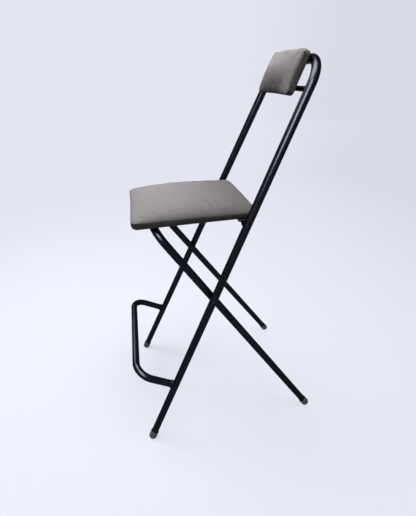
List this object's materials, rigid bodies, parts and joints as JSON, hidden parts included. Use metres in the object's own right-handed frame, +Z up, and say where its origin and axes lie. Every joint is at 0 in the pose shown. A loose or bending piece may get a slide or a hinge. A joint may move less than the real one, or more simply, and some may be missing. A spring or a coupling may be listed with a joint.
{
  "type": "folding bar stool",
  "caption": "Tall folding stool with an upholstered seat and low back pad on a scissor frame of bent steel tube, with a footrest loop and rubber feet.",
  "frame": {"origin": "on the floor, under the middle of the stool's length and width when it stands open", "axes": "+Z up; -Y is the way the sitter faces, so the footrest is at -Y and the back pad leans to +Y; +X is the sitter's left"},
  "size_m": [0.4538, 0.5963, 1.1094],
  "materials": {
    "frame_paint": "gloss black powder coat with a cool tone",
    "bracket_paint": "black powder coat",
    "zinc_steel": "zinc-plated, satin",
    "foot_rubber": "matte black moulded rubber",
    "washer_plastic": "matte black nylon",
    "plywood": "raw birch plywood",
    "upholstery": "taupe grey imitation suede leather, matte"
  },
  "bodies": {
    "main_frame": {"main_frame_tube": "frame_paint", "footrest_tube": "frame_paint", "back_support_bar": "frame_paint", "backrest_board": "plywood", "backrest_cushion": "upholstery", "backrest_screw_top_left": "zinc_steel", "backrest_screw_top_right": "zinc_steel", "backrest_screw_low_left": "zinc_steel", "backrest_screw_low_right": "zinc_steel", "pivot_rivet_left": "frame_paint", "pivot_rivet_right": "frame_paint", "pivot_washer_left": "washer_plastic", "pivot_washer_right": "washer_plastic", "seat_hinge_pin_left": "zinc_steel", "seat_hinge_pin_right": "zinc_steel", "seat_hinge_washer_left": "washer_plastic", "seat_hinge_washer_right": "washer_plastic", "front_foot_cap_left": "foot_rubber", "front_foot_cap_right": "foot_rubber"},
    "rear_frame": {"rear_frame_tube": "frame_paint", "rear_foot_cap_left": "foot_rubber", "rear_foot_cap_right": "foot_rubber"},
    "seat": {"seat_board": "plywood", "seat_cushion": "upholstery", "seat_hinge_bracket_left": "bracket_paint", "seat_hinge_bracket_right": "bracket_paint", "seat_catch_left": "bracket_paint", "seat_catch_right": "bracket_paint", "hinge_screw_left_1": "zinc_steel", "hinge_screw_left_2": "zinc_steel", "hinge_screw_right_1": "zinc_steel", "hinge_screw_right_2": "zinc_steel", "catch_screw_left_1": "zinc_steel", "catch_screw_left_2": "zinc_steel", "catch_screw_right_1": "zinc_steel", "catch_screw_right_2": "zinc_steel"}
  },
  "joints": [
    {"name": "seat_fold", "type": "hinge", "parent": "main_frame", "child": "seat", "pos_m": [0, 0.05628, 0.7158], "axis": [-1, 0, 0], "range_deg": [0, 88]},
    {"name": "rear_frame_fold", "type": "hinge", "parent": "main_frame", "child": "rear_frame", "pos_m": [0, -0.04115, 0.498], "axis": [-1, 0, 0], "range_deg": [0, 53]}
  ],
  "couplings": [
    {"joint": "rear_frame_fold", "follows": "seat_fold", "ratio": 0.602}
  ]
}
